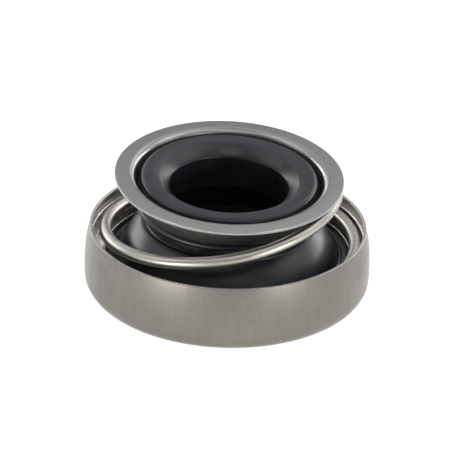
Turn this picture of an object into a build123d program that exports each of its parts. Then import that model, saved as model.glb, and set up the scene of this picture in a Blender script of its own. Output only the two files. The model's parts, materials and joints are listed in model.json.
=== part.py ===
from build123d import *
import os
from math import cos, radians, sin, sqrt, tan

# Rotating head of an elastomer-bellows shaft seal, standing on its sealing face in its free state.
# Six pieces: a drawn cup (case), a pressed ring in it (spring_seat), a conical wire spring, a rubber
# bellows, the flanged ring clamped round its tail (retainer) and the carbon ring that seals (face_ring).
# Millimetres. +Z is the shaft axis, z = 0 is the sealing face, and the open end looks up.

# ---- shaft and overall length ----
SHAFT_D = 14.0  # shaft that the rubber tail grips
FREE_LENGTH = 14.6  # sealing face to the top of the flange, on the axis

# ---- lean of the unloaded head: the tail and the flange sit a little askew until a shaft lines them up ----
LEAN = 3.6  # degrees between the shaft axis and the tail's own axis
LEAN_AZIMUTH = 296.0  # degrees from +X, the side that the flange dips towards

# ---- case: drawn cup with a barrelled wall ----
CASE_OD = 32.0
CASE_HEIGHT = 7.65
CASE_SHEET = 0.33
CASE_CORNER = 1.9  # outside radius of the drawn corner
CASE_BULGE_HEIGHT = 3.7  # widest point above the case's base
CASE_RIM_INSET = 0.53  # how far the rim is drawn in, which traps the spring seat

# ---- carbon face ring ----
NOSE_PROUD = 0.8  # the sealing face stands this far below the case
NOSE_WIDTH = 2.3  # width of the sealing face
NOSE_CHAMFER = 0.2
RING_SHAFT_GAP = 1.6  # from the shaft to the ring's bore
RING_BODY = 1.9  # height of the body
RING_CHAMFER = 0.25
NOSE_GAP = 0.7  # from the nose to the edge of the case's hole

# ---- spring seat: pressed ring of L section ----
SEAT_SHEET = 0.3
SEAT_HEIGHT = 2.15
SEAT_FLOOR = 1.73  # width of the floor, from its hole to the outside of the wall
SEAT_BEND = 0.45  # outside radius of the bend
SEAT_FIT = 0.03  # from the seat's wall to the case

# ---- spring: round wire, wound right-handed, one wide coil below and one narrow coil above ----
WIRE_D = 1.4
WIRE_SIDE_GAP = 0.15  # from the lower coil to the seat's wall
WIRE_END_GAP = 0.03  # from the end coils to what they bear on
SPRING_START = 250.0  # azimuth of the lower end, degrees from +X
LOWER_COIL = 142.0  # degrees of wire that lie along the seat
LOWER_COIL_LIFT = 0.54  # how far the lower coil lifts off the seat over its length
RISING_COIL = 322.0  # degrees of wire that climb from the seat to the flange
UPPER_COIL = 186.0  # degrees of wire that lie along the flange
CLIMB_LAG = 1.9  # over 1, the climb starts gently and is steepest late
TAPER_START = 0.26  # where along the climb the coil starts to narrow, from 0 to 1
TAPER_END = 0.89
SPRING_STEP = 26.0  # degrees between the points that its centre line runs through

# ---- retainer: flanged collar round the bellows' tail ----
RETAINER_SHEET = 0.38
FLANGE_OD = 25.44
FLANGE_WIDTH = 1.48  # flat width, from the flange's edge to the roll
FLANGE_ROLL = 0.82  # radius of the rolled edge, on its outside
COLLAR_HEIGHT = 3.15  # from the top of the flange to the collar's lower edge
COLLAR_TAPER = 13.3  # degrees that the collar closes in by, down to its lower edge

# ---- bellows: rubber boot, dome and tail in one moulding ----
TAIL_GRIP = 0.35  # the relaxed bore's radius is this much under the shaft's
TAIL_FIT = 0.03  # from the tail to the collar
TAIL_SINK = 0.17  # top of the tail's rim below the flange
TAIL_RIM_INSET = 0.54  # the rim stands this far in from the roll
TAIL_RIM_ROUND = 0.42
TAIL_GROOVE = 1.2  # depth below the rim at which the tail fills the collar again
TAIL_DISH = 0.25  # how far the top falls from its rim to the lead-in
LEAD_IN_WIDTH = 1.15
LEAD_IN_DEPTH = 1.08
BORE_LENGTH = 3.6  # of rubber that touches the shaft
BORE_FLARE = 1.5  # width of the chamfer under the bore
BORE_FLARE_DEPTH = 0.8
BEAD_HEIGHT = 0.9  # of rubber, as wide as the collar's lower edge, below the collar
BEAD_ROUND = 0.25
NECK_INSET = 0.65  # the neck under the bead is this much narrower on the radius
NECK_HEIGHT = 1.2  # from the bead to the dome's shoulder
DOME_SHOULDER = 0.4  # how far the shoulder stands out past the neck
DOME_CROWN = 0.2  # how far the dome still rises from its shoulder to the neck
DOME_SAG = 0.27  # how far the dome's side bows out from a straight cone
BELLOWS_WALL = 1.5
VALLEY_WIDTH = 0.47  # groove round the dome's foot
VALLEY_DEPTH = 0.2
LIP_WIDTH = 0.5  # rubber lip that stands up through the seat's hole
LIP_BEVEL = 0.12
SEAT_HOLE_GAP = 0.3  # from the lip to the edge of the seat's hole
BOOT_CROWN = 1.3  # rubber between the face ring and the seat
BOOT_WALL = 1.5  # rubber round the face ring
BOOT_UNDER = 0.57  # rubber between the case's base and the ring's body
BOOT_FIT = 0.03  # from the boot to the case, the seat and the face ring

# ---- places worked out from the sizes above ----
CASE_R = CASE_OD / 2
CASE_BASE_Z = NOSE_PROUD
CASE_RIM_Z = CASE_BASE_Z + CASE_HEIGHT
CASE_BULGE_Z = CASE_BASE_Z + CASE_BULGE_HEIGHT

RING_HOLE_R = SHAFT_D / 2 + RING_SHAFT_GAP
NOSE_R = RING_HOLE_R + NOSE_WIDTH
CASE_HOLE_R = NOSE_R + NOSE_GAP
BOOT_BASE_Z = CASE_BASE_Z + CASE_SHEET + BOOT_FIT
RING_BODY_Z = BOOT_BASE_Z + BOOT_UNDER
RING_TOP_Z = RING_BODY_Z + RING_BODY

SEAT_BASE_Z = RING_TOP_Z + BOOT_CROWN
SEAT_FLOOR_Z = SEAT_BASE_Z + SEAT_SHEET
SEAT_TOP_Z = SEAT_BASE_Z + SEAT_HEIGHT

FLANGE_R = FLANGE_OD / 2
FLANGE_FLAT_R = FLANGE_R - FLANGE_WIDTH


def collar_r(height, roll):
    """Radius of the collar's tapered wall at a height, on the side where the roll's radius is this."""
    taper = radians(COLLAR_TAPER)
    return FLANGE_FLAT_R - roll / cos(taper) + (height + FLANGE_ROLL) * tan(taper)


# heights on the tail count up from the top of the flange, so they are below zero
BORE_R = SHAFT_D / 2 - TAIL_GRIP
BORE_TOP = -TAIL_SINK - TAIL_DISH - LEAD_IN_DEPTH
BORE_END = BORE_TOP - BORE_LENGTH
BEAD_TOP = -COLLAR_HEIGHT - TAIL_FIT
BEAD_END = -COLLAR_HEIGHT - BEAD_HEIGHT
BEAD_R = collar_r(-COLLAR_HEIGHT, FLANGE_ROLL - RETAINER_SHEET)
NECK_R = BEAD_R - NECK_INSET


def leaning_frame():
    """The tail's own frame: its origin on the shaft axis, at the top of the flange."""
    lean, azimuth = radians(LEAN), radians(LEAN_AZIMUTH)
    return Plane(
        origin=(0, 0, FREE_LENGTH),
        z_dir=(sin(lean) * cos(azimuth), sin(lean) * sin(azimuth), cos(lean)),
    )


TAIL_FRAME = leaning_frame()
STANDING = (Align.CENTER, Align.CENTER, Align.MIN)  # a cylinder on its lower end


def turned(*outline):
    """Solid of revolution from the edges of a closed outline, given as (radius, height)."""
    return revolve(Plane.XZ * make_face(Curve() + list(outline)), axis=Axis.Z)


def case_inside_r(z):
    """Inside radius of the case's wall at a height, where it narrows above its widest point."""
    rise = CASE_RIM_Z - CASE_BULGE_Z
    barrel = (rise**2 + CASE_RIM_INSET**2) / (2 * CASE_RIM_INSET)
    above = max(z - CASE_BULGE_Z, 0)
    return CASE_R - CASE_SHEET - barrel + (barrel**2 - above**2) ** 0.5


def case_side(inset):
    """Case profile from the edge of its hole to the rim, moved in from the outside by a wall."""
    side_r, base_z, corner = CASE_R - inset, CASE_BASE_Z + inset, CASE_CORNER - inset
    base = Line((CASE_HOLE_R, base_z), (side_r - corner, base_z))
    bend = JernArc(base @ 1, (1, 0), corner, 90)
    side = Line(bend @ 1, (side_r, CASE_BULGE_Z))
    barrel = TangentArc(side @ 1, (side_r - CASE_RIM_INSET, CASE_RIM_Z), tangent=(0, 1))
    return [base, bend, side, barrel]


def make_case():
    outside, inside = case_side(0), case_side(CASE_SHEET)
    rim = Line(outside[-1] @ 1, inside[-1] @ 1)
    hole = Line(outside[0] @ 0, inside[0] @ 0)
    return turned(*outside, rim, *inside, hole)


# the case narrows towards its rim and traps the seat at the top of the seat's wall
SEAT_R = case_inside_r(SEAT_TOP_Z) - SEAT_FIT
SEAT_HOLE_R = SEAT_R - SEAT_FLOOR


def seat_side(inset):
    """Seat profile from the edge of its hole to the top of its wall."""
    corner = (SEAT_R - inset, SEAT_BASE_Z + inset)
    start, top = (SEAT_HOLE_R, corner[1]), (corner[0], SEAT_TOP_Z)
    return FilletPolyline(start, corner, top, radius=SEAT_BEND - inset)


def make_spring_seat():
    outside, inside = seat_side(0), seat_side(SEAT_SHEET)
    top = Line(outside @ 1, inside @ 1)
    hole = Line(outside @ 0, inside @ 0)
    return turned(outside, top, inside, hole)


# the ring's body is as wide as the boot round it leaves room for
BOOT_R = case_inside_r(SEAT_BASE_Z) - BOOT_FIT
RING_R = BOOT_R - BOOT_WALL - BOOT_FIT


def make_face_ring():
    base, top, c = RING_BODY_Z, RING_TOP_Z, RING_CHAMFER
    return turned(
        Polyline(
            (RING_HOLE_R, 0),
            (NOSE_R - NOSE_CHAMFER, 0),
            (NOSE_R, NOSE_CHAMFER),
            (NOSE_R, base),
            (RING_R - c, base),
            (RING_R, base + c),
            (RING_R, top - c),
            (RING_R - c, top),
            (RING_HOLE_R + c, top),
            (RING_HOLE_R, top - c),
            close=True,
        )
    )


def ease(share):
    """Smooth step from 0 to 1, level at both ends."""
    share = min(max(share, 0.0), 1.0)
    return share * share * (3 - 2 * share)


def mix(low, high, share):
    return low + (high - low) * share


def spring_point(turned_by):
    """Centre of the wire after so many degrees from the spring's lower end."""
    azimuth = radians(SPRING_START + turned_by)
    climb = min(max((turned_by - LOWER_COIL) / RISING_COIL, 0.0), 1.0)
    taper = ease((climb - TAPER_START) / (TAPER_END - TAPER_START))
    lower_r = SEAT_R - SEAT_SHEET - WIRE_SIDE_GAP - WIRE_D / 2
    upper_r = (FLANGE_FLAT_R + FLANGE_R) / 2
    r = mix(lower_r, upper_r, taper)
    x, y = r * cos(azimuth), r * sin(azimuth)
    bearing = WIRE_D / 2 + WIRE_END_GAP
    lower_z = SEAT_FLOOR_Z + bearing + LOWER_COIL_LIFT * min(turned_by / LOWER_COIL, 1.0)
    flange = TAIL_FRAME.offset(-RETAINER_SHEET - bearing)
    upper_z = flange.origin.Z - (x * flange.z_dir.X + y * flange.z_dir.Y) / flange.z_dir.Z
    return Vector(x, y, mix(lower_z, upper_z, ease(climb**CLIMB_LAG)))


def spring_way(turned_by):
    """Direction of the wire there."""
    return (spring_point(turned_by + 0.5) - spring_point(turned_by - 0.5)).normalized()


def arcs_between(start, start_way, end, end_way):
    """Two arcs that join smoothly, from one point and direction to the next."""
    across, ways = end - start, start_way + end_way
    bend = 2 * (1 - start_way.dot(end_way))
    along = across.dot(ways)
    reach = (sqrt(along**2 + bend * across.dot(across)) - along) / bend
    first_knee, last_knee = start + start_way * reach, end - end_way * reach
    middle = (first_knee + last_knee) / 2
    first = TangentArc(start, middle, tangent=start_way)
    return [first, TangentArc(middle, end, tangent=last_knee - first_knee)]


def make_spring():
    length = LOWER_COIL + RISING_COIL + UPPER_COIL
    steps = round(length / SPRING_STEP)
    places = [length * i / steps for i in range(steps + 1)]
    arcs = []
    for here, there in zip(places, places[1:]):
        arcs += arcs_between(spring_point(here), spring_way(here), spring_point(there), spring_way(there))
    wire = Plane(origin=arcs[0] @ 0, z_dir=arcs[0] % 0) * Circle(WIRE_D / 2)
    return sweep(wire, path=Wire(arcs))


def collar_side(roll, flange_z):
    """Retainer profile on one side of its sheet: flange, roll and tapered collar."""
    flange = Line((FLANGE_R, flange_z), (FLANGE_FLAT_R, flange_z))
    bend = JernArc(flange @ 1, (-1, 0), roll, 90 - COLLAR_TAPER)
    collar = Line(bend @ 1, (collar_r(-COLLAR_HEIGHT, roll), -COLLAR_HEIGHT))
    return [flange, bend, collar]


def make_retainer():
    inside = collar_side(FLANGE_ROLL, 0)
    outside = collar_side(FLANGE_ROLL - RETAINER_SHEET, -RETAINER_SHEET)
    edge = Line(inside[0] @ 0, outside[0] @ 0)
    foot = Line(inside[-1] @ 1, outside[-1] @ 1)
    return TAIL_FRAME.location * turned(*inside, foot, *outside, edge)


def dome_side(inset):
    """The dome's bowed side from its foot up, moved in from the outside by a wall."""
    foot_r = SEAT_HOLE_R - SEAT_HOLE_GAP - LIP_WIDTH - VALLEY_WIDTH - inset
    shoulder_z = FREE_LENGTH + BEAD_END - NECK_HEIGHT - inset / 2
    shoulder = (NECK_R + DOME_SHOULDER - inset, shoulder_z)
    return SagittaArc((foot_r, SEAT_FLOOR_Z), shoulder, -DOME_SAG)


def boot_and_dome():
    """The bellows' outside from the case's base up to the neck, and the room under the dome."""
    lip_r = SEAT_HOLE_R - SEAT_HOLE_GAP
    side = dome_side(0)
    foot_r, shoulder_z = (side @ 0).X, (side @ 1).Y
    boot = FilletPolyline(
        (0, BOOT_BASE_Z),
        (BOOT_R, BOOT_BASE_Z),
        (BOOT_R, SEAT_BASE_Z - BOOT_FIT),
        radius=CASE_CORNER - CASE_SHEET,
    )
    crown = Polyline(
        boot @ 1,
        (lip_r, SEAT_BASE_Z - BOOT_FIT),
        (lip_r, SEAT_FLOOR_Z - LIP_BEVEL),
        (lip_r - LIP_BEVEL, SEAT_FLOOR_Z),
        (lip_r - LIP_WIDTH, SEAT_FLOOR_Z),
        (foot_r + VALLEY_WIDTH / 2, SEAT_FLOOR_Z - VALLEY_DEPTH),
        side @ 0,
    )
    top_z = shoulder_z + DOME_CROWN
    cap = Polyline(side @ 1, (NECK_R, top_z), (0, top_z), (0, BOOT_BASE_Z))
    outside = turned(boot, crown, side, cap)

    wall = dome_side(BELLOWS_WALL)
    inner_foot, ceiling = wall @ 0, wall @ 1
    room = Polyline(ceiling, (0, ceiling.Y), (0, RING_TOP_Z), (inner_foot.X, RING_TOP_Z), inner_foot)
    return outside, turned(wall, room)


def ring_room():
    """Room in the boot for the face ring: its pocket and the mouth under it."""
    ring_r, ring_z = RING_R + BOOT_FIT, RING_BODY_Z - BOOT_FIT
    ring_height = RING_TOP_Z + BOOT_FIT - ring_z
    pocket = Pos(0, 0, ring_z) * Cylinder(ring_r, ring_height, align=STANDING)
    mouth = Pos(0, 0, CASE_BASE_Z) * Cylinder(CASE_HOLE_R, RING_TOP_Z - CASE_BASE_Z, align=STANDING)
    return pocket + mouth


def bore():
    """Bore of the tail, with its lead-in above and its flare below."""
    lead_in_r, flare_r = BORE_R + LEAD_IN_WIDTH, BORE_R + BORE_FLARE
    flare_end = BORE_END - BORE_FLARE_DEPTH
    below = flare_end - BORE_LENGTH
    outline = Polyline(
        (0, below),
        (flare_r, below),
        (flare_r, flare_end),
        (BORE_R, BORE_END),
        (BORE_R, BORE_TOP),
        (lead_in_r, BORE_TOP + LEAD_IN_DEPTH),
        (0, BORE_TOP + LEAD_IN_DEPTH),
        close=True,
    )
    return TAIL_FRAME.location * turned(outline)


def tail():
    """The tail's outside: dished top, rim, the wall that the collar grips, bead and neck."""
    rim_r = FLANGE_FLAT_R - FLANGE_ROLL - TAIL_RIM_INSET
    dish_r, dish_z = BORE_R + LEAD_IN_WIDTH, BORE_TOP + LEAD_IN_DEPTH
    neck_end = BORE_END - BORE_FLARE_DEPTH
    dish = Polyline((0, neck_end), (0, dish_z), (dish_r, dish_z), (rim_r - TAIL_RIM_ROUND, -TAIL_SINK))
    rim = JernArc(dish @ 1, (1, 0), TAIL_RIM_ROUND, -90)
    groove_z = -TAIL_SINK - TAIL_GROOVE
    outside = Polyline(
        rim @ 1,
        (collar_r(groove_z, FLANGE_ROLL) - TAIL_FIT, groove_z),
        (collar_r(BEAD_TOP, FLANGE_ROLL) - TAIL_FIT, BEAD_TOP),
        (BEAD_R, BEAD_TOP),
        (BEAD_R, BEAD_END + BEAD_ROUND),
        (BEAD_R - BEAD_ROUND, BEAD_END),
        (NECK_R, BEAD_END),
        (NECK_R, neck_end),
        (0, neck_end),
    )
    return TAIL_FRAME.location * turned(dish, rim, outside)


def make_bellows():
    outside, room = boot_and_dome()
    return outside + tail() - room - ring_room() - bore()


PIECES = {
    "case": make_case,
    "spring_seat": make_spring_seat,
    "spring": make_spring,
    "bellows": make_bellows,
    "retainer": make_retainer,
    "face_ring": make_face_ring,
}

os.makedirs("parts", exist_ok=True)
for name, make in PIECES.items():
    export_step(make(), f"parts/{name}.step")
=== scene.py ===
import json
import math
import bmesh
import bpy
from bpy.props import FloatProperty, FloatVectorProperty, PointerProperty
from mathutils import Matrix, Vector


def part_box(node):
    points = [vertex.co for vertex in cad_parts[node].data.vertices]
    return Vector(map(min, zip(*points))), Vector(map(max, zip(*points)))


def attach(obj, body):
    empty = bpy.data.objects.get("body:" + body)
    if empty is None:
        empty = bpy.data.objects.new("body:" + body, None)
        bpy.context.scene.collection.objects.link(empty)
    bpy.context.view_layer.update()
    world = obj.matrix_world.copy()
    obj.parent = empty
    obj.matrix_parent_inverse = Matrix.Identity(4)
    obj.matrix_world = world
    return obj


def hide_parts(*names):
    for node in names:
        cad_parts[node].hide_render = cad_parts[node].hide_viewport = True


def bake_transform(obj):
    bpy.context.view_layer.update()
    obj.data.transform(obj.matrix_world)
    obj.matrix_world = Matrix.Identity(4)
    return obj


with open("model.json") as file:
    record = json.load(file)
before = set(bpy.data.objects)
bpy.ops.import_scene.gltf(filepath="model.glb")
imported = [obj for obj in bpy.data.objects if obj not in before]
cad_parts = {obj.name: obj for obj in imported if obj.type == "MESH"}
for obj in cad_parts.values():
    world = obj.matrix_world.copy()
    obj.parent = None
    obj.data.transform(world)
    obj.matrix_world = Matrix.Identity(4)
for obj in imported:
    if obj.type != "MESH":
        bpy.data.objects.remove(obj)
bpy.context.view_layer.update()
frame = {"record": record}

bl_info = {
    "name": "Bellows Shaft Seal",
    "version": (1, 0, 0),
    "blender": (4, 5, 0),
    "location": "View3D > Sidebar > Shaft Seal",
    "description": "Rotating head of a rubber bellows shaft seal, with its studio stage",
    "category": "Add Mesh",
}

# ---- the frame: what the solid model says about places and sizes, in metres ----
MM = 0.001
CASE_LOW, CASE_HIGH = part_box("case")
SEAT_LOW, SEAT_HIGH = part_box("spring_seat")
RING_LOW, RING_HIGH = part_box("face_ring")
BELLOWS_LOW, BELLOWS_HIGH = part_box("bellows")
BORE = next(mount for mount in frame["record"]["mounts"] if mount["name"] == "shaft_bore")
BORE_R = BORE["dims"]["r_mm"] * MM
BORE_LENGTH = BORE["dims"]["length_mm"] * MM
BORE_MIDDLE = Vector(BORE["pos_m"])
TAIL_AXIS = Vector(BORE["axis"]).normalized()
UP = Vector((0, 0, 1))
# where the tail's axis meets the shaft axis: the centre of the flange's top
FLANGE_TOP = BORE_MIDDLE - TAIL_AXIS * (BORE_MIDDLE.x / TAIL_AXIS.x)
LEAN = Matrix.Translation(FLANGE_TOP) @ UP.rotation_difference(TAIL_AXIS).to_matrix().to_4x4()
ROOT_BODY, COLLAR_BODY = "head", "collar"

# ---- what the pieces share ----
FIT = 0.03 * MM  # gap between pieces that sit on each other
STEP_RISE = 0.57 * MM  # from the boot's base up to the step behind the ring's nose
DOME_BOW, DOME_STEPS = 0.27 * MM, 14  # how far the dome's side bows out, and the steps along it
SPIN_STEPS = 192  # flats round a turned piece: each is half a millimetre on the case
ARC_STEP = math.radians(9)  # between the points of a rounded corner
WIRE_STEP = math.radians(3)  # between the circles that make up the wire
WIRE_FLATS = 32  # round each of those circles
SHARP = math.radians(50)  # edges that turn by more than this get rounded
SAME_POINT = 1e-7  # points nearer to each other than this, in metres, are merged
# a Mix node's sockets when it mixes two colours
COLOUR_A, COLOUR_B, MIXED = 6, 7, 2


def linear(code):
    """sRGB hex code to linear colour with alpha."""
    levels = [int(code[i : i + 2], 16) / 255 for i in (1, 3, 5)]
    return (*[s / 12.92 if s <= 0.04045 else ((s + 0.055) / 1.055) ** 2.4 for s in levels], 1.0)


def size(label, description, mm):
    """A length that a user can change, given in millimetres and kept in metres."""
    return FloatProperty(
        name=label,
        description=description,
        default=mm * MM,
        precision=5,
        unit="LENGTH",
        subtype="DISTANCE",
    )


def angle(label, description, degrees):
    """An angle that a user can change, given in degrees and kept in radians."""
    return FloatProperty(
        name=label, description=description, default=math.radians(degrees), subtype="ANGLE"
    )


def tint(label, description, code):
    """A colour that a user can change, given as an sRGB hex code."""
    return FloatVectorProperty(
        name=label,
        description=description,
        default=linear(code),
        size=4,
        min=0,
        max=1,
        subtype="COLOR",
    )


# ---- sizes and colours that a user would change ----


class SealCaseSettings(bpy.types.PropertyGroup):
    sheet: size("Sheet", "Thickness of the drawn sheet", 0.33)
    corner: size("Corner", "Outside radius of the drawn corner", 1.9)
    bulge_height: size("Widest point", "Height of the widest point above the base", 3.7)
    rim_inset: size("Rim inset", "How far the rim is drawn in", 0.53)
    hole: size("Hole", "Radius of the hole in the base", 11.6)
    edge: size("Edge", "Rounding of the cut edges", 0.07)
    steel: tint("Steel", "Colour of the drawn wall", "#807c76")
    # the inside's lighter colour is painted light, for the light that the inside of the cup catches
    inside: tint("Inside", "Colour of the wall's inside", "#bfbcb6")


class SealSeatSettings(bpy.types.PropertyGroup):
    sheet: size("Sheet", "Thickness of the pressed sheet", 0.3)
    floor: size("Floor", "Width of the floor that the spring stands on", 1.73)
    bend: size("Bend", "Outside radius of the bend", 0.45)
    edge: size("Edge", "Rounding of the cut edges", 0.09)
    steel: tint("Steel", "Colour of the pressed ring", "#cfccc6")


class SealSpringSettings(bpy.types.PropertyGroup):
    wire: size("Wire", "Thickness of the wire", 1.4)
    start: angle("Start", "Azimuth of the lower end", 250)
    lower_coil: angle("Lower coil", "Wire that lies along the seat", 142)
    rising_coil: angle("Rising coil", "Wire that climbs to the flange", 322)
    upper_coil: angle("Upper coil", "Wire that lies along the flange", 186)
    steel: tint("Steel", "Colour of the wire", "#b1aea5")


class SealBellowsSettings(bpy.types.PropertyGroup):
    wall: size("Wall", "Thickness of the dome", 1.5)
    hole: size("Hole", "Radius of the hole in the boot's base", 11.6)
    rubber: tint("Rubber", "Colour of the rubber", "#101316")
    bloom: tint("Bloom", "Colour of the dust and wax on the rubber", "#1c1f24")


class SealRetainerSettings(bpy.types.PropertyGroup):
    sheet: size("Sheet", "Thickness of the pressed sheet", 0.38)
    flange: size("Flange", "Outside radius of the flange", 12.72)
    flat: size("Flat", "Flat width, from the flange's edge to the roll", 1.48)
    roll: size("Roll", "Outside radius of the rolled edge", 0.82)
    sag: size("Sag", "How far the flange's edge lies under a true plane", 0.05)
    height: size("Height", "From the flange's top to the collar's lower edge", 3.15)
    taper: angle("Taper", "How far the collar closes in towards its lower edge", 13.3)
    edge: size("Edge", "Rounding of the cut edges", 0.08)
    steel: tint("Steel", "Colour of the flange", "#9e9e9c")


class SealFaceRingSettings(bpy.types.PropertyGroup):
    hole: size("Hole", "Radius of the ring's hole", 8.6)
    nose_width: size("Nose width", "Width of the nose that ends in the sealing face", 2.3)
    edge: size("Edge", "Rounding of the ring's edges", 0.2)
    carbon: tint("Carbon", "Colour of the carbon graphite", "#2a2b2e")


class SealStageSettings(bpy.types.PropertyGroup):
    floor: tint("Floor", "Colour of the floor", "#a4a4a2")
    distance: size("Camera distance", "From the middle of the seal to the camera", 300)


class SealSettings(bpy.types.PropertyGroup):
    case: PointerProperty(type=SealCaseSettings, name="Case", description="The drawn cup")
    seat: PointerProperty(type=SealSeatSettings, name="Seat", description="The pressed ring")
    spring: PointerProperty(type=SealSpringSettings, name="Spring", description="The conical spring")
    bellows: PointerProperty(type=SealBellowsSettings, name="Bellows", description="The rubber moulding")
    retainer: PointerProperty(type=SealRetainerSettings, name="Retainer", description="The flanged collar")
    face_ring: PointerProperty(type=SealFaceRingSettings, name="Face ring", description="The carbon ring")
    stage: PointerProperty(type=SealStageSettings, name="Stage", description="Floor, lights and camera")


# ---- outlines, as lists of (radius, height) ----


def arc(centre, radius, start, end):
    """Points of an arc from one angle to another, in degrees, with 0 outwards and 90 up."""
    start, end = math.radians(start), math.radians(end)
    steps = max(2, math.ceil(abs(end - start) / ARC_STEP))
    angles = [start + (end - start) * i / steps for i in range(steps + 1)]
    return [(centre[0] + radius * math.cos(a), centre[1] + radius * math.sin(a)) for a in angles]


def bowed(low, high, bow, steps):
    """Points of a side that bows out from the straight line between two points."""
    along = Vector((high[0] - low[0], high[1] - low[1]))
    out = Vector((along.y, -along.x)).normalized()
    shares = [i / steps for i in range(steps + 1)]
    return [tuple(Vector(low) + along * t + out * (4 * bow * t * (1 - t))) for t in shares]


def ease(share):
    """A share kept between 0 and 1, with a gentle start and end."""
    share = min(max(share, 0.0), 1.0)
    return share * share * (3 - 2 * share)


def mix(low, high, share):
    """The value that lies so far from one value to another."""
    return low + (high - low) * share


def collar_r(retainer, z, roll):
    """Radius of the tapered collar at a height above the flange's top.

    The roll's radius says which side of the sheet: the whole one is the inside, and the one
    less the sheet is the outside.
    """
    flat_r = retainer.flange - retainer.flat
    return flat_r - roll / math.cos(retainer.taper) + (z + retainer.roll) * math.tan(retainer.taper)


# ---- meshes ----


def turn(outline):
    """A bmesh turned about the shaft axis from a closed outline."""
    bm = bmesh.new()
    ring = [bm.verts.new((r, 0, z)) for r, z in outline]
    edges = [bm.edges.new((a, b)) for a, b in zip(ring, ring[1:] + ring[:1])]
    bmesh.ops.spin(
        bm,
        geom=ring + edges,
        axis=UP,
        cent=(0, 0, 0),
        angle=math.tau,
        steps=SPIN_STEPS,
        use_merge=True,
    )
    bmesh.ops.remove_doubles(bm, verts=bm.verts, dist=SAME_POINT)
    bmesh.ops.recalc_face_normals(bm, faces=bm.faces)
    return bm


def round_edges(bm, width, segments=3, convex_only=False):
    """Rounds the sharp edges, as tumbling or turning leaves them."""
    sharp = [e for e in bm.edges if e.is_manifold and e.calc_face_angle() > SHARP]
    if convex_only:
        sharp = [e for e in sharp if e.calc_face_angle_signed() > 0]
    bmesh.ops.bevel(
        bm,
        geom=sharp,
        offset=width,
        segments=segments,
        profile=0.5,
        affect="EDGES",
        material=-1,
        clamp_overlap=True,
    )


def finish_piece(bm, name, body, node, material, smooth_below=40):
    """Makes the object, smooth where faces turn by less than so many degrees, and hides the solid model's
    part.
    """
    mesh = bpy.data.meshes.new(name)
    bm.to_mesh(mesh)
    bm.free()
    mesh.shade_smooth()
    mesh.set_sharp_from_angle(angle=math.radians(smooth_below))
    mesh.materials.append(material)
    piece = bpy.data.objects.new(name, mesh)
    bpy.context.scene.collection.objects.link(piece)
    # the wide faces set the shading, so that a narrow rounded edge does not bend it far around
    weighted = piece.modifiers.new("weighted normals", "WEIGHTED_NORMAL")
    weighted.mode, weighted.keep_sharp = "FACE_AREA", True
    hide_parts(node)
    if body:
        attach(piece, body)
    return piece


# ---- materials ----


def add_node(tree, kind, inputs=None, **settings):
    """Adds a node, sets its own settings, and sets or links its inputs."""
    node = tree.nodes.new(kind)
    for key, value in settings.items():
        setattr(node, key, value)
    for key, value in (inputs or {}).items():
        if isinstance(value, bpy.types.NodeSocket):
            tree.links.new(value, node.inputs[key])
        else:
            node.inputs[key].default_value = value
    return node


def per_mm(mm):
    """Noise scale on Object coordinates that gives a feature of that size."""
    return 1 / (mm * MM)


def new_material(name):
    """An empty node tree with a shader, its output and Object coordinates."""
    material = bpy.data.materials.new(name)
    material.use_nodes = True
    tree = material.node_tree
    tree.nodes.clear()
    shader = add_node(tree, "ShaderNodeBsdfPrincipled")
    add_node(tree, "ShaderNodeOutputMaterial", {"Surface": shader.outputs["BSDF"]})
    place = add_node(tree, "ShaderNodeTexCoord").outputs["Object"]
    return material, tree, shader, place


def round_axis(tree, place):
    """Object coordinates unrolled: x is the way round, y the radius and z the height, all in metres."""
    parts = add_node(tree, "ShaderNodeSeparateXYZ", {"Vector": place})
    x, y, z = parts.outputs
    azimuth = add_node(tree, "ShaderNodeMath", {0: y, 1: x}, operation="ARCTAN2")
    flat = add_node(tree, "ShaderNodeCombineXYZ", {"X": x, "Y": y})
    radius = add_node(tree, "ShaderNodeVectorMath", {0: flat.outputs[0]}, operation="LENGTH")
    way = add_node(
        tree, "ShaderNodeMath", {0: azimuth.outputs[0], 1: CASE_HIGH.x}, operation="MULTIPLY"
    )
    unrolled = add_node(
        tree, "ShaderNodeCombineXYZ", {"X": way.outputs[0], "Y": radius.outputs["Value"], "Z": z}
    )
    return unrolled.outputs[0]


def shaded(colour, share):
    """The colour made so much lighter or darker, and no lighter than white."""
    return [min(level * share, 1.0) for level in colour[:3]] + [1.0]


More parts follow.
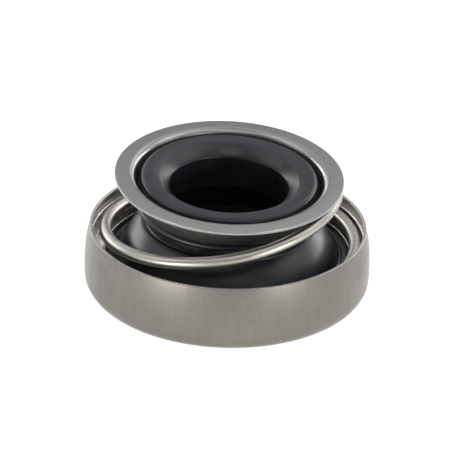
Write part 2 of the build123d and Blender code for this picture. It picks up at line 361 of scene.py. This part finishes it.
def sheet_steel(name, colour, roughness, streak, drawn_along_z, inside=None):
    """Stainless sheet or wire, cold drawn or pressed: satin, with faint marks the way the metal moved.

    Real marks are finer than a tenth of a millimetre. They are drawn about three times as coarse, to show.
    With an inside colour, the inside and the rim are painted lighter than the outside: painted light.
    """
    material, tree, shader, place = new_material(name)
    marks_mm = (0.35, 0.35, 4.0) if drawn_along_z else (4.0, 0.35, 0.35)
    marks_place = add_node(
        tree,
        "ShaderNodeMapping",
        {"Vector": round_axis(tree, place), "Scale": [per_mm(mm) for mm in marks_mm]},
    )
    marks = add_node(
        tree, "ShaderNodeTexNoise", {"Vector": marks_place.outputs[0], "Scale": 1.0, "Detail": 3.0}
    )
    cloud = add_node(
        tree,
        "ShaderNodeTexNoise",
        {"Vector": place, "Scale": per_mm(5), "Detail": 4.0, "Roughness": 0.6},
    )
    grain = add_node(
        tree, "ShaderNodeTexNoise", {"Vector": place, "Scale": per_mm(0.3), "Detail": 3.0}
    )
    # the clouds count twice, so the sum of the three is about 2
    clouds_and_marks = add_node(
        tree,
        "ShaderNodeMath",
        {0: cloud.outputs["Fac"], 1: 2.0, 2: marks.outputs["Fac"]},
        operation="MULTIPLY_ADD",
    )
    tone = add_node(
        tree,
        "ShaderNodeMath",
        {0: clouds_and_marks.outputs[0], 1: grain.outputs["Fac"]},
        operation="ADD",
    )
    share = add_node(
        tree, "ShaderNodeMapRange", {"Value": tone.outputs[0], "From Min": 1.5, "From Max": 2.5}
    ).outputs["Result"]
    base = add_node(
        tree,
        "ShaderNodeMix",
        {
            "Factor": share,
            COLOUR_A: shaded(colour, 1 - streak),
            COLOUR_B: shaded(colour, 1 + streak),
        },
        data_type="RGBA",
    )
    rough = add_node(
        tree,
        "ShaderNodeMapRange",
        {"Value": share, "To Min": roughness * 1.2, "To Max": roughness * 0.8},
    )
    bump = add_node(
        tree,
        "ShaderNodeBump",
        {"Height": marks.outputs["Fac"], "Strength": 0.25, "Distance": 0.01 * MM},
    )
    if inside:
        # the dot product of the surface's direction and its place, with the place's height turned
        # over, is below zero on the inside and the rim, and above it outside and under the base
        direction = add_node(tree, "ShaderNodeTexCoord").outputs["Normal"]
        turned_over = add_node(tree, "ShaderNodeMapping", {"Vector": place, "Scale": (1, 1, -1)})
        outward = add_node(
            tree,
            "ShaderNodeVectorMath",
            {0: turned_over.outputs[0], 1: direction},
            operation="DOT_PRODUCT",
        )
        # painted light: the share of the lighter inside colour, 1 on the inside and the rim
        painted_light_share = add_node(
            tree,
            "ShaderNodeMapRange",
            {"Value": outward.outputs["Value"], "From Min": 5 * MM, "From Max": 0},
        )
        base = add_node(
            tree,
            "ShaderNodeMix",
            {"Factor": painted_light_share.outputs["Result"], COLOUR_A: base.outputs[MIXED], COLOUR_B: inside},
            data_type="RGBA",
        )
    tree.links.new(base.outputs[MIXED], shader.inputs["Base Color"])
    tree.links.new(rough.outputs["Result"], shader.inputs["Roughness"])
    tree.links.new(bump.outputs["Normal"], shader.inputs["Normal"])
    shader.inputs["Metallic"].default_value = 1.0
    return material


def moulded_rubber(colour, bloom):
    """Nitrile rubber from a satin mould: near black, with a thin grey bloom of wax and dust."""
    material, tree, shader, place = new_material("nitrile rubber")
    patches = add_node(
        tree,
        "ShaderNodeTexNoise",
        {"Vector": place, "Scale": per_mm(3), "Detail": 5.0, "Roughness": 0.65},
    )
    specks = add_node(
        tree, "ShaderNodeTexNoise", {"Vector": place, "Scale": per_mm(0.25), "Detail": 3.0}
    )
    share = add_node(
        tree,
        "ShaderNodeMapRange",
        {"Value": patches.outputs["Fac"], "From Min": 0.35, "From Max": 0.7},
    )
    base = add_node(
        tree,
        "ShaderNodeMix",
        {"Factor": share.outputs["Result"], COLOUR_A: colour, COLOUR_B: bloom},
        data_type="RGBA",
    )
    rough = add_node(
        tree,
        "ShaderNodeMapRange",
        {
            "Value": patches.outputs["Fac"],
            "From Min": 0.3,
            "From Max": 0.7,
            "To Min": 0.27,
            "To Max": 0.42,
        },
    )
    bump = add_node(
        tree,
        "ShaderNodeBump",
        {"Height": specks.outputs["Fac"], "Strength": 0.5, "Distance": 0.01 * MM},
    )
    tree.links.new(base.outputs[MIXED], shader.inputs["Base Color"])
    tree.links.new(rough.outputs["Result"], shader.inputs["Roughness"])
    tree.links.new(bump.outputs["Normal"], shader.inputs["Normal"])
    shader.inputs["IOR"].default_value = 1.52
    return material


def lapped_carbon(colour):
    """Carbon graphite: pressed, baked and machined, with a grey gloss and fine rings from the tool.

    The tool's rings are drawn about 0.12 mm apart, a few times as coarse as they are, to show.
    """
    material, tree, shader, place = new_material("carbon graphite")
    grain = add_node(
        tree, "ShaderNodeTexNoise", {"Vector": place, "Scale": per_mm(0.2), "Detail": 3.0}
    )
    rings_place = add_node(
        tree,
        "ShaderNodeMapping",
        {"Vector": round_axis(tree, place), "Scale": [per_mm(mm) for mm in (20, 0.12, 0.12)]},
    )
    rings = add_node(
        tree, "ShaderNodeTexNoise", {"Vector": rings_place.outputs[0], "Scale": 1.0, "Detail": 1.0}
    )
    base = add_node(
        tree,
        "ShaderNodeMix",
        {"Factor": grain.outputs["Fac"], COLOUR_A: shaded(colour, 0.7), COLOUR_B: colour},
        data_type="RGBA",
    )
    bump = add_node(
        tree,
        "ShaderNodeBump",
        {"Height": rings.outputs["Fac"], "Strength": 0.2, "Distance": 0.01 * MM},
    )
    tree.links.new(base.outputs[MIXED], shader.inputs["Base Color"])
    tree.links.new(bump.outputs["Normal"], shader.inputs["Normal"])
    shader.inputs["Roughness"].default_value = 0.35
    shader.inputs["IOR"].default_value = 1.8
    return material


def matt_paper(colour):
    """Matt paper, lit from under except for the disc that the seal covers."""
    material, tree, shader, place = new_material("matt paper")
    covered_r, lit_r = 11 * MM, 12 * MM
    covered_glow, lit_glow = 0.03, 0.88
    cloud = add_node(
        tree, "ShaderNodeTexNoise", {"Vector": place, "Scale": per_mm(60), "Detail": 2.0}
    )
    tone = add_node(
        tree,
        "ShaderNodeMix",
        {"Factor": cloud.outputs["Fac"], COLOUR_A: colour, COLOUR_B: shaded(colour, 0.99)},
        data_type="RGBA",
    )
    reach = add_node(tree, "ShaderNodeVectorMath", {0: place}, operation="LENGTH")
    glow = add_node(
        tree,
        "ShaderNodeMapRange",
        {
            "Value": reach.outputs["Value"],
            "From Min": covered_r,
            "From Max": lit_r,
            "To Min": covered_glow,
            "To Max": lit_glow,
        },
    )
    tree.links.new(tone.outputs[MIXED], shader.inputs["Base Color"])
    tree.links.new(glow.outputs["Result"], shader.inputs["Emission Strength"])
    shader.inputs["Emission Color"].default_value = linear("#ffffff")
    shader.inputs["Roughness"].default_value = 0.9
    shader.inputs["Specular IOR Level"].default_value = 0.1
    return material


# ---- pieces ----


def case_outline(settings):
    """Drawn cup: base, corner, straight side and barrelled top, outside up and inside down."""
    case_r, base_z, rim_z = CASE_HIGH.x, CASE_LOW.z, CASE_HIGH.z
    bulge_z = base_z + settings.bulge_height
    rise = rim_z - bulge_z
    barrel = (rise**2 + settings.rim_inset**2) / (2 * settings.rim_inset)

    def side(inset):
        corner = settings.corner - inset
        centre = (case_r - settings.corner, base_z + settings.corner)
        sweep = math.degrees(math.asin(rise / barrel))
        points = [(settings.hole, base_z + inset)]
        points += arc(centre, corner, -90, 0)
        points += arc((case_r - inset - barrel, bulge_z), barrel, 0, sweep)
        return points

    return side(0) + side(settings.sheet)[::-1]


class SEAL_OT_case(bpy.types.Operator):
    """Drawn cup that holds the spring seat and the boot of the bellows"""

    bl_idname = "seal.case"
    bl_label = "Case"

    def execute(self, context):
        settings = context.scene.seal.case
        bm = turn(case_outline(settings))
        round_edges(bm, settings.edge)
        # the inside and the rim get a lighter colour than the outside: painted light
        steel = sheet_steel(
            "drawn stainless",
            settings.steel,
            roughness=0.33,
            streak=0.10,
            drawn_along_z=True,
            inside=settings.inside,
        )
        finish_piece(bm, "case_shell", ROOT_BODY, "case", steel)
        return {"FINISHED"}


class SEAL_OT_spring_seat(bpy.types.Operator):
    """Pressed ring that the spring stands on"""

    bl_idname = "seal.spring_seat"
    bl_label = "Spring seat"

    def execute(self, context):
        settings = context.scene.seal.seat
        wall_r, base_z, top_z = SEAT_HIGH.x, SEAT_LOW.z, SEAT_HIGH.z

        def side(inset):
            bend = settings.bend - inset
            centre = (wall_r - settings.bend, base_z + settings.bend)
            points = [(wall_r - settings.floor, base_z + inset)]
            points += arc(centre, bend, -90, 0)
            points += [(wall_r - inset, top_z)]
            return points

        bm = turn(side(0) + side(settings.sheet)[::-1])
        round_edges(bm, settings.edge)
        steel = sheet_steel(
            "pressed stainless", settings.steel, roughness=0.28, streak=0.12, drawn_along_z=True
        )
        finish_piece(bm, "spring_seat_ring", ROOT_BODY, "spring_seat", steel)
        return {"FINISHED"}


def spring_point(turned_by, settings, seat, retainer):
    """Centre of the wire at an angle round from the spring's lower end."""
    side_gap = 0.15 * MM  # between the lower coil and the seat's wall
    lower_lift = 0.54 * MM  # how far the lower coil rises off the seat by its end
    climb_lag = 1.9  # above 1, the wire stays low at first and climbs late
    taper_start, taper_end = 0.26, 0.89  # where on the climb the coil starts and stops closing in
    azimuth = settings.start + turned_by
    climb = min(max((turned_by - settings.lower_coil) / settings.rising_coil, 0.0), 1.0)
    lower_r = SEAT_HIGH.x - seat.sheet - side_gap - settings.wire / 2
    upper_r = retainer.flange - retainer.flat / 2
    r = mix(lower_r, upper_r, ease((climb - taper_start) / (taper_end - taper_start)))
    x, y = r * math.cos(azimuth), r * math.sin(azimuth)
    bearing = settings.wire / 2 + FIT
    lower_z = SEAT_LOW.z + seat.sheet + bearing + lower_lift * min(turned_by / settings.lower_coil, 1.0)
    # the upper coil lies in the plane under the leaning flange
    under = FLANGE_TOP - TAIL_AXIS * (retainer.sheet + bearing)
    upper_z = under.z - ((x - under.x) * TAIL_AXIS.x + (y - under.y) * TAIL_AXIS.y) / TAIL_AXIS.z
    return Vector((x, y, mix(lower_z, upper_z, ease(climb**climb_lag))))


def wire_mesh(points, radius):
    """A round wire along a line of points: a circle carried along it, closed at both ends."""
    bm = bmesh.new()
    rings = []
    for i, point in enumerate(points):
        ahead = points[min(i + 1, len(points) - 1)] - points[max(i - 1, 0)]
        side = ahead.cross(UP).normalized()
        over = side.cross(ahead).normalized()
        turned_to_wire = Matrix((side, over, ahead.normalized())).transposed().to_4x4()
        place = Matrix.Translation(point) @ turned_to_wire
        made = bmesh.ops.create_circle(bm, segments=WIRE_FLATS, radius=radius, matrix=place)
        rings.append(made["verts"])
    for low, high in zip(rings, rings[1:]):
        loops = {e for ring in (low, high) for v in ring for e in v.link_edges if e.other_vert(v) in ring}
        bmesh.ops.bridge_loops(bm, edges=list(loops))
    for end in (rings[0], rings[-1]):
        bmesh.ops.contextual_create(bm, geom=end)
    bmesh.ops.recalc_face_normals(bm, faces=bm.faces)
    return bm


class SEAL_OT_spring(bpy.types.Operator):
    """Conical spring, in three stretches: one with the head, one on its own and one with the collar"""

    bl_idname = "seal.spring"
    bl_label = "Spring"

    def execute(self, context):
        seal = context.scene.seal
        settings = seal.spring
        wire = sheet_steel(
            "spring wire", settings.steel, roughness=0.36, streak=0.08, drawn_along_z=False
        )
        whole = settings.lower_coil + settings.rising_coil + settings.upper_coil
        # the middle stretch crosses the front, from the left at 180 degrees to the right
        # at 360, in the turn after the one that the wire starts in
        left = math.radians(180 + 360) - settings.start
        right = math.radians(360 + 360) - settings.start
        stretches = (
            ("spring_lower_coil", ROOT_BODY, 0, left),
            ("spring_rising_coil", None, left, right),
            ("spring_upper_coil", COLLAR_BODY, right, whole),
        )
        for name, body, begin, end in stretches:
            steps = math.ceil((end - begin) / WIRE_STEP)
            points = [
                spring_point(mix(begin, end, i / steps), settings, seal.seat, seal.retainer)
                for i in range(steps + 1)
            ]
            bm = wire_mesh(points, settings.wire / 2)
            piece = finish_piece(bm, name, body, "spring", wire)
            if body is None:
                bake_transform(piece)
        return {"FINISHED"}


def boot_outline(settings, lip_r, floor_z):
    """Boot round the face ring, and the lip that comes up through the seat's hole."""
    boot_r, base_z, under_seat_z = BELLOWS_HIGH.x, BELLOWS_LOW.z, SEAT_LOW.z - FIT
    corner = 1.57 * MM
    lip_width, lip_round, inner_round = 0.42 * MM, 0.12 * MM, 0.08 * MM
    points = [(settings.hole, base_z)]
    points += arc((boot_r - corner, base_z + corner), corner, -90, 0)
    points += [(boot_r, under_seat_z), (lip_r, under_seat_z)]
    points += arc((lip_r - lip_round, floor_z - lip_round), lip_round, 0, 90)
    points += arc((lip_r - lip_width, floor_z - inner_round), inner_round, 90, 150)
    return points


def dome_outline(foot, shoulder):
    """Crease inside the lip, then the dome's bowed side and its rounded shoulder."""
    crease = (foot[0] + 0.3 * MM, foot[1] - 0.18 * MM)
    root = (foot[0] + 0.12 * MM, foot[1] - 0.14 * MM)
    rounding, rise = 0.2 * MM, 0.02 * MM
    points = [crease, root]
    points += bowed(foot, shoulder, DOME_BOW, DOME_STEPS)
    points += arc((shoulder[0] - rounding, shoulder[1] + rise), rounding, 20, 80)
    return points


def neck_outline(shoulder_z, bead_r, bead_z, bead_top):
    """Neck between the dome and the collar, and the bead: a round roll with a groove over it."""
    neck_r = bead_r - 1.05 * MM
    fillet, fillet_low, fillet_high = 0.06 * MM, 0.24 * MM, 0.34 * MM
    bend_share = 0.6  # how far up the neck it has a point to bend at
    foot_round, side_low = 0.2 * MM, 0.24 * MM
    draw_in, side_bow, side_steps = 0.26 * MM, 0.05 * MM, 6
    groove_deep = (bead_r - 0.36 * MM, bead_top + 0.08 * MM)
    groove_high = (bead_r - 0.3 * MM, bead_top + 0.3 * MM)
    points = [(neck_r + fillet, shoulder_z + fillet_low), (neck_r, shoulder_z + fillet_high)]
    points += [(neck_r, mix(shoulder_z, bead_z, bend_share))]
    points += [(neck_r, bead_z - fillet), (neck_r + fillet, bead_z)]
    points += arc((bead_r - foot_round, bead_z + foot_round), foot_round, -90, 0)
    points += bowed((bead_r, bead_z + side_low), (bead_r - draw_in, bead_top), side_bow, side_steps)
    points += [groove_deep, groove_high]
    return points


def tail_outline(retainer):
    """Tail: its side inside the collar, rounded rim, dished top, lead-in and bore."""
    top = FLANGE_TOP.z
    grip_low, grip_high = -retainer.height + 0.14 * MM, -1.37 * MM  # where it fills the collar
    rim_gap, rim_round, rim_centre_drop = 0.54 * MM, 0.55 * MM, 0.72 * MM
    rim_centre_r = retainer.flange - retainer.flat - retainer.roll - rim_gap - rim_round
    dish = 0.28 * MM  # the dish's depth under the flange's top
    lead_in_r, lead_in_z = BORE_R + 1.15 * MM, top - 0.42 * MM
    lead_in_bow, lead_in_steps = 0.05 * MM, 6
    bore_top = top - 1.5 * MM
    points = [(collar_r(retainer, z, retainer.roll) - FIT, top + z) for z in (grip_low, grip_high)]
    points += arc((rim_centre_r, top - rim_centre_drop), rim_round, 0, 90)
    points += [(mix(rim_centre_r, lead_in_r, 0.5), top - dish)]
    # the lead-in meets the top and the bore in soft edges, so points stand on both sides of each
    points += [(lead_in_r + 0.1 * MM, lead_in_z + 0.02 * MM)]
    lead_in_high = (lead_in_r - 0.06 * MM, lead_in_z - 0.03 * MM)
    lead_in_low = (BORE_R + 0.06 * MM, bore_top + 0.08 * MM)
    points += bowed(lead_in_high, lead_in_low, lead_in_bow, lead_in_steps)
    points += [(BORE_R, bore_top - 0.04 * MM), (BORE_R, bore_top - BORE_LENGTH)]
    return points


def room_outline(settings, foot, bore_end_z, bead_r, bead_z):
    """Room inside: out from under the bore, down the dome's wall and round the face ring."""
    flare_width, flare_height = 1.5 * MM, 0.8 * MM
    ceiling_inset, ceiling_drop = 0.25 * MM, 1.3 * MM
    wall_r = foot[0] - settings.wall
    ceiling = (
        bead_r - ceiling_inset - settings.wall,
        bead_z - ceiling_drop - settings.wall / 2,
    )
    ring_r, ring_top = RING_HIGH.x + FIT, RING_HIGH.z + FIT
    step_z = BELLOWS_LOW.z + STEP_RISE - FIT
    points = [(BORE_R + flare_width, bore_end_z - flare_height)]
    points += bowed((wall_r, foot[1]), ceiling, DOME_BOW, DOME_STEPS)[::-1]
    points += [(wall_r, ring_top), (ring_r, ring_top), (ring_r, step_z), (settings.hole, step_z)]
    return points


def bellows_outline(settings, seat, retainer):
    """Closed section of the rubber moulding, with its tail upright. It leans over afterwards."""
    lip_gap, crease_width = 0.3 * MM, 0.97 * MM
    groove, bead_height = 0.18 * MM, 0.8 * MM
    shoulder_inset, neck_height = 0.4 * MM, 1.9 * MM
    floor_z = SEAT_LOW.z + seat.sheet
    lip_r = SEAT_HIGH.x - seat.floor - lip_gap
    collar_foot_z = FLANGE_TOP.z - retainer.height
    bead_r = collar_r(retainer, -retainer.height, retainer.roll - retainer.sheet)
    bead_top, bead_z = collar_foot_z - groove, collar_foot_z - bead_height
    foot = (lip_r - crease_width, floor_z)
    shoulder = (bead_r - shoulder_inset, bead_z - neck_height)
    outside = boot_outline(settings, lip_r, floor_z)
    outside += dome_outline(foot, shoulder)
    outside += neck_outline(shoulder[1], bead_r, bead_z, bead_top)
    tail = tail_outline(retainer)
    bore_end_z = tail[-1][1]
    return outside + tail + room_outline(settings, foot, bore_end_z, bead_r, bead_z)


class SEAL_OT_bellows(bpy.types.Operator):
    """Rubber bellows: boot round the face ring, dome and the tail that grips the shaft"""

    bl_idname = "seal.bellows"
    bl_label = "Bellows"

    def execute(self, context):
        seal = context.scene.seal
        settings = seal.bellows
        bm = turn(bellows_outline(settings, seal.seat, seal.retainer))
        tail_z = FLANGE_TOP.z - seal.retainer.height - 0.9 * MM
        # outside, the neck bends between the dome's shoulder and the bead, and inside, the room
        # bends under the bore
        room_r = 9 * MM  # between the room's wall and the outside of the neck
        neck_bend_z, room_bend_z = tail_z - 1.25 * MM, tail_z - 2.05 * MM
        bend_height = 1 * MM
        for vert in bm.verts:
            bend_z = neck_bend_z if vert.co.xy.length > room_r else room_bend_z
            leant = LEAN @ (vert.co - UP * FLANGE_TOP.z)
            vert.co = vert.co.lerp(leant, ease((vert.co.z - bend_z) / bend_height))
        rubber = moulded_rubber(settings.rubber, settings.bloom)
        piece = finish_piece(bm, "bellows_rubber", None, "bellows", rubber, smooth_below=18)
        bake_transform(piece)
        return {"FINISHED"}


class SEAL_OT_retainer(bpy.types.Operator):
    """Collar with its top rolled out into a flange"""

    bl_idname = "seal.retainer"
    bl_label = "Retainer"

    def execute(self, context):
        settings = context.scene.seal.retainer
        flat_r = settings.flange - settings.flat

        def side(roll):
            """Flange, roll and collar on the side of the sheet that has this roll."""
            bend = arc((flat_r, -settings.roll), roll, 90, 180 - math.degrees(settings.taper))
            foot = (collar_r(settings, -settings.height, roll), -settings.height)
            return [(settings.flange, roll - settings.roll - settings.sag)] + bend + [foot]

        bm = turn(side(settings.roll) + side(settings.roll - settings.sheet)[::-1])
        round_edges(bm, settings.edge)
        bmesh.ops.transform(bm, matrix=LEAN, verts=bm.verts)
        steel = sheet_steel(
            "pressed stainless flange", settings.steel, roughness=0.31, streak=0.05, drawn_along_z=False
        )
        finish_piece(bm, "retainer_collar", COLLAR_BODY, "retainer", steel)
        return {"FINISHED"}


class SEAL_OT_face_ring(bpy.types.Operator):
    """Carbon ring whose nose is the sealing face"""

    bl_idname = "seal.face_ring"
    bl_label = "Face ring"

    def execute(self, context):
        settings = context.scene.seal.face_ring
        hole_r, nose_r, ring_r = settings.hole, settings.hole + settings.nose_width, RING_HIGH.x
        face_z, step_z, top_z = RING_LOW.z, BELLOWS_LOW.z + STEP_RISE, RING_HIGH.z
        nose = [(hole_r, face_z), (nose_r, face_z), (nose_r, step_z)]
        ring = [(ring_r, step_z), (ring_r, top_z), (hole_r, top_z)]
        bm = turn(nose + ring)
        round_edges(bm, settings.edge, segments=2, convex_only=True)
        carbon = lapped_carbon(settings.carbon)
        finish_piece(bm, "face_ring_carbon", ROOT_BODY, "face_ring", carbon)
        return {"FINISHED"}


# ---- stage ----


def softbox(name, way_round, up, width, height, radiance):
    """A soft area light half a metre off that faces the seal.

    It stands so far round from the front, to the right, and so far up, both in degrees.
    """
    distance = 0.5
    middle = Vector((0, 0, CASE_HIGH.z))
    way_round, up = math.radians(way_round), math.radians(up)
    across = math.cos(up)
    place = Vector((math.sin(way_round) * across, -math.cos(way_round) * across, math.sin(up)))
    light = bpy.data.lights.new(name, "AREA")
    light.shape, light.size, light.size_y = "RECTANGLE", width, height
    light.energy = radiance * math.pi * width * height
    lamp = bpy.data.objects.new(name, light)
    lamp.location = middle + place * distance
    lamp.rotation_euler = (-place).to_track_quat("-Z", "Y").to_euler()
    bpy.context.scene.collection.objects.link(lamp)


def make_lights():
    """Strips low in front, large panels at the sides and overhead, and fill from behind."""
    softbox("softbox_front_left", way_round=-45, up=5, width=0.26, height=0.09, radiance=12)
    softbox("softbox_front_right", way_round=45, up=5, width=0.26, height=0.09, radiance=9)
    softbox("softbox_front", way_round=-13, up=9, width=0.30, height=0.08, radiance=1.6)
    softbox("softbox_front_right_high", way_round=38, up=24, width=0.20, height=0.14, radiance=1.6)
    softbox("softbox_front_high", way_round=4, up=60, width=0.24, height=0.20, radiance=1.3)
    softbox("softbox_window", way_round=-158, up=18, width=0.22, height=0.14, radiance=1.2)
    softbox("softbox_back_right", way_round=152, up=32, width=0.20, height=0.18, radiance=1.5)
    softbox("softbox_back_high", way_round=180, up=48, width=0.26, height=0.12, radiance=0.5)
    for side, high_radiance in ((-1, 1.0), (1, 1.5)):
        softbox("softbox_side", way_round=side * 80, up=10, width=0.24, height=0.16, radiance=1.2)
        softbox("softbox_rear", way_round=side * 127, up=12, width=0.27, height=0.14, radiance=4.5)
        softbox("softbox_back", way_round=side * 152, up=6, width=0.22, height=0.10, radiance=2.5)
        softbox(
            "softbox_high", way_round=side * 90, up=42, width=0.30, height=0.20, radiance=high_radiance
        )
        softbox("softbox_over", way_round=side * 90, up=66, width=0.30, height=0.20, radiance=1.0)


def make_world():
    """A dim grey surround that grows brighter towards the back and overhead."""
    world = bpy.data.worlds.new("studio")
    bpy.context.scene.world = world
    world.use_nodes = True
    tree = world.node_tree
    tree.nodes.clear()
    direction = add_node(tree, "ShaderNodeTexCoord").outputs["Generated"]
    way = add_node(tree, "ShaderNodeSeparateXYZ", {"Vector": direction})
    behind = add_node(
        tree,
        "ShaderNodeMapRange",
        {"Value": way.outputs["Y"], "From Min": -0.6, "From Max": 0.7, "To Min": 0.08, "To Max": 0.42},
        interpolation_type="SMOOTHSTEP",
    )
    above = add_node(
        tree,
        "ShaderNodeMapRange",
        {"Value": way.outputs["Z"], "From Min": 0.45, "From Max": 0.65, "To Max": 0.25},
        interpolation_type="SMOOTHSTEP",
    )
    glow = add_node(
        tree,
        "ShaderNodeMath",
        {0: behind.outputs["Result"], 1: above.outputs["Result"]},
        operation="ADD",
    )
    background = add_node(
        tree, "ShaderNodeBackground", {"Color": linear("#f6f8ff"), "Strength": glow.outputs[0]}
    )
    add_node(tree, "ShaderNodeOutputWorld", {"Surface": background.outputs[0]})


def make_floor(colour):
    """A flat sheet of paper that reaches out of sight."""
    half_width = 3
    bm = bmesh.new()
    bmesh.ops.create_grid(bm, x_segments=2, y_segments=2, size=half_width)
    mesh = bpy.data.meshes.new("floor")
    bm.to_mesh(mesh)
    bm.free()
    mesh.materials.append(matt_paper(colour))
    floor = bpy.data.objects.new("floor", mesh)
    bpy.context.scene.collection.objects.link(floor)


def make_camera(distance):
    """Long lens, looking down at 27 degrees, turned a little about its own axis."""
    image_px, px_per_mm, sensor_mm = 452, 8.92, 36
    pitch, roll = math.radians(27.29), math.radians(1.67)
    aim_height = 5 * MM  # above the case's base
    # the camera aims a little over that point, so the seal stands a little under the frame's middle
    aim_px = Vector((-1.52, 18.9, 0))
    middle = Vector((0, 0, CASE_LOW.z + aim_height))
    back = Vector((0, -math.cos(pitch), math.sin(pitch)))
    place = middle + back * distance
    rolled = (-back).to_track_quat("-Z", "Y").to_matrix() @ Matrix.Rotation(roll, 3, "Z")
    aim = middle + rolled @ aim_px * (MM / px_per_mm)
    swing = (-back).rotation_difference((aim - place).normalized()).to_matrix()
    lens = bpy.data.cameras.new("camera")
    lens.sensor_width = sensor_mm
    lens.lens = px_per_mm * (distance / MM) * sensor_mm / image_px
    lens.clip_start, lens.clip_end = 0.01, 20
    camera = bpy.data.objects.new("camera", lens)
    camera.matrix_world = Matrix.Translation(place) @ (swing @ rolled).to_4x4()
    bpy.context.scene.collection.objects.link(camera)
    bpy.context.scene.camera = camera


class SEAL_OT_stage(bpy.types.Operator):
    """Pale floor, soft studio light and the camera"""

    bl_idname = "seal.stage"
    bl_label = "Stage"

    def execute(self, context):
        settings = context.scene.seal.stage
        context.scene.view_settings.view_transform = "Standard"
        make_floor(settings.floor)
        make_world()
        make_lights()
        make_camera(settings.distance)
        return {"FINISHED"}


class SEAL_PT_panel(bpy.types.Panel):
    """Lists the seal's pieces and their sizes"""

    bl_idname = "SEAL_PT_panel"
    bl_label = "Shaft Seal"
    bl_space_type = "VIEW_3D"
    bl_region_type = "UI"
    bl_category = "Shaft Seal"

    def draw(self, context):
        for operator in OPERATORS:
            self.layout.operator(operator.bl_idname)
        for group in context.scene.seal.bl_rna.properties:
            if group.type == "POINTER" and group.identifier != "rna_type":
                box = self.layout.box()
                box.label(text=group.name)
                settings = getattr(context.scene.seal, group.identifier)
                for item in settings.bl_rna.properties:
                    if item.identifier not in {"rna_type", "name"}:
                        box.prop(settings, item.identifier)


OPERATORS = (
    SEAL_OT_case,
    SEAL_OT_spring_seat,
    SEAL_OT_spring,
    SEAL_OT_bellows,
    SEAL_OT_retainer,
    SEAL_OT_face_ring,
    SEAL_OT_stage,
)
SETTINGS = (
    SealCaseSettings,
    SealSeatSettings,
    SealSpringSettings,
    SealBellowsSettings,
    SealRetainerSettings,
    SealFaceRingSettings,
    SealStageSettings,
    SealSettings,
)
CLASSES = (*SETTINGS, *OPERATORS, SEAL_PT_panel)


def register():
    for cls in CLASSES:
        bpy.utils.register_class(cls)
    bpy.types.Scene.seal = PointerProperty(type=SealSettings, name="Seal", description="Sizes and colours")


def unregister():
    del bpy.types.Scene.seal
    for cls in reversed(CLASSES):
        bpy.utils.unregister_class(cls)


def main():
    """Makes the pieces and the stage."""
    register()
    bpy.ops.seal.case()
    bpy.ops.seal.spring_seat()
    bpy.ops.seal.spring()
    bpy.ops.seal.bellows()
    bpy.ops.seal.retainer()
    bpy.ops.seal.face_ring()
    bpy.ops.seal.stage()


if __name__ == "__main__":
    main()
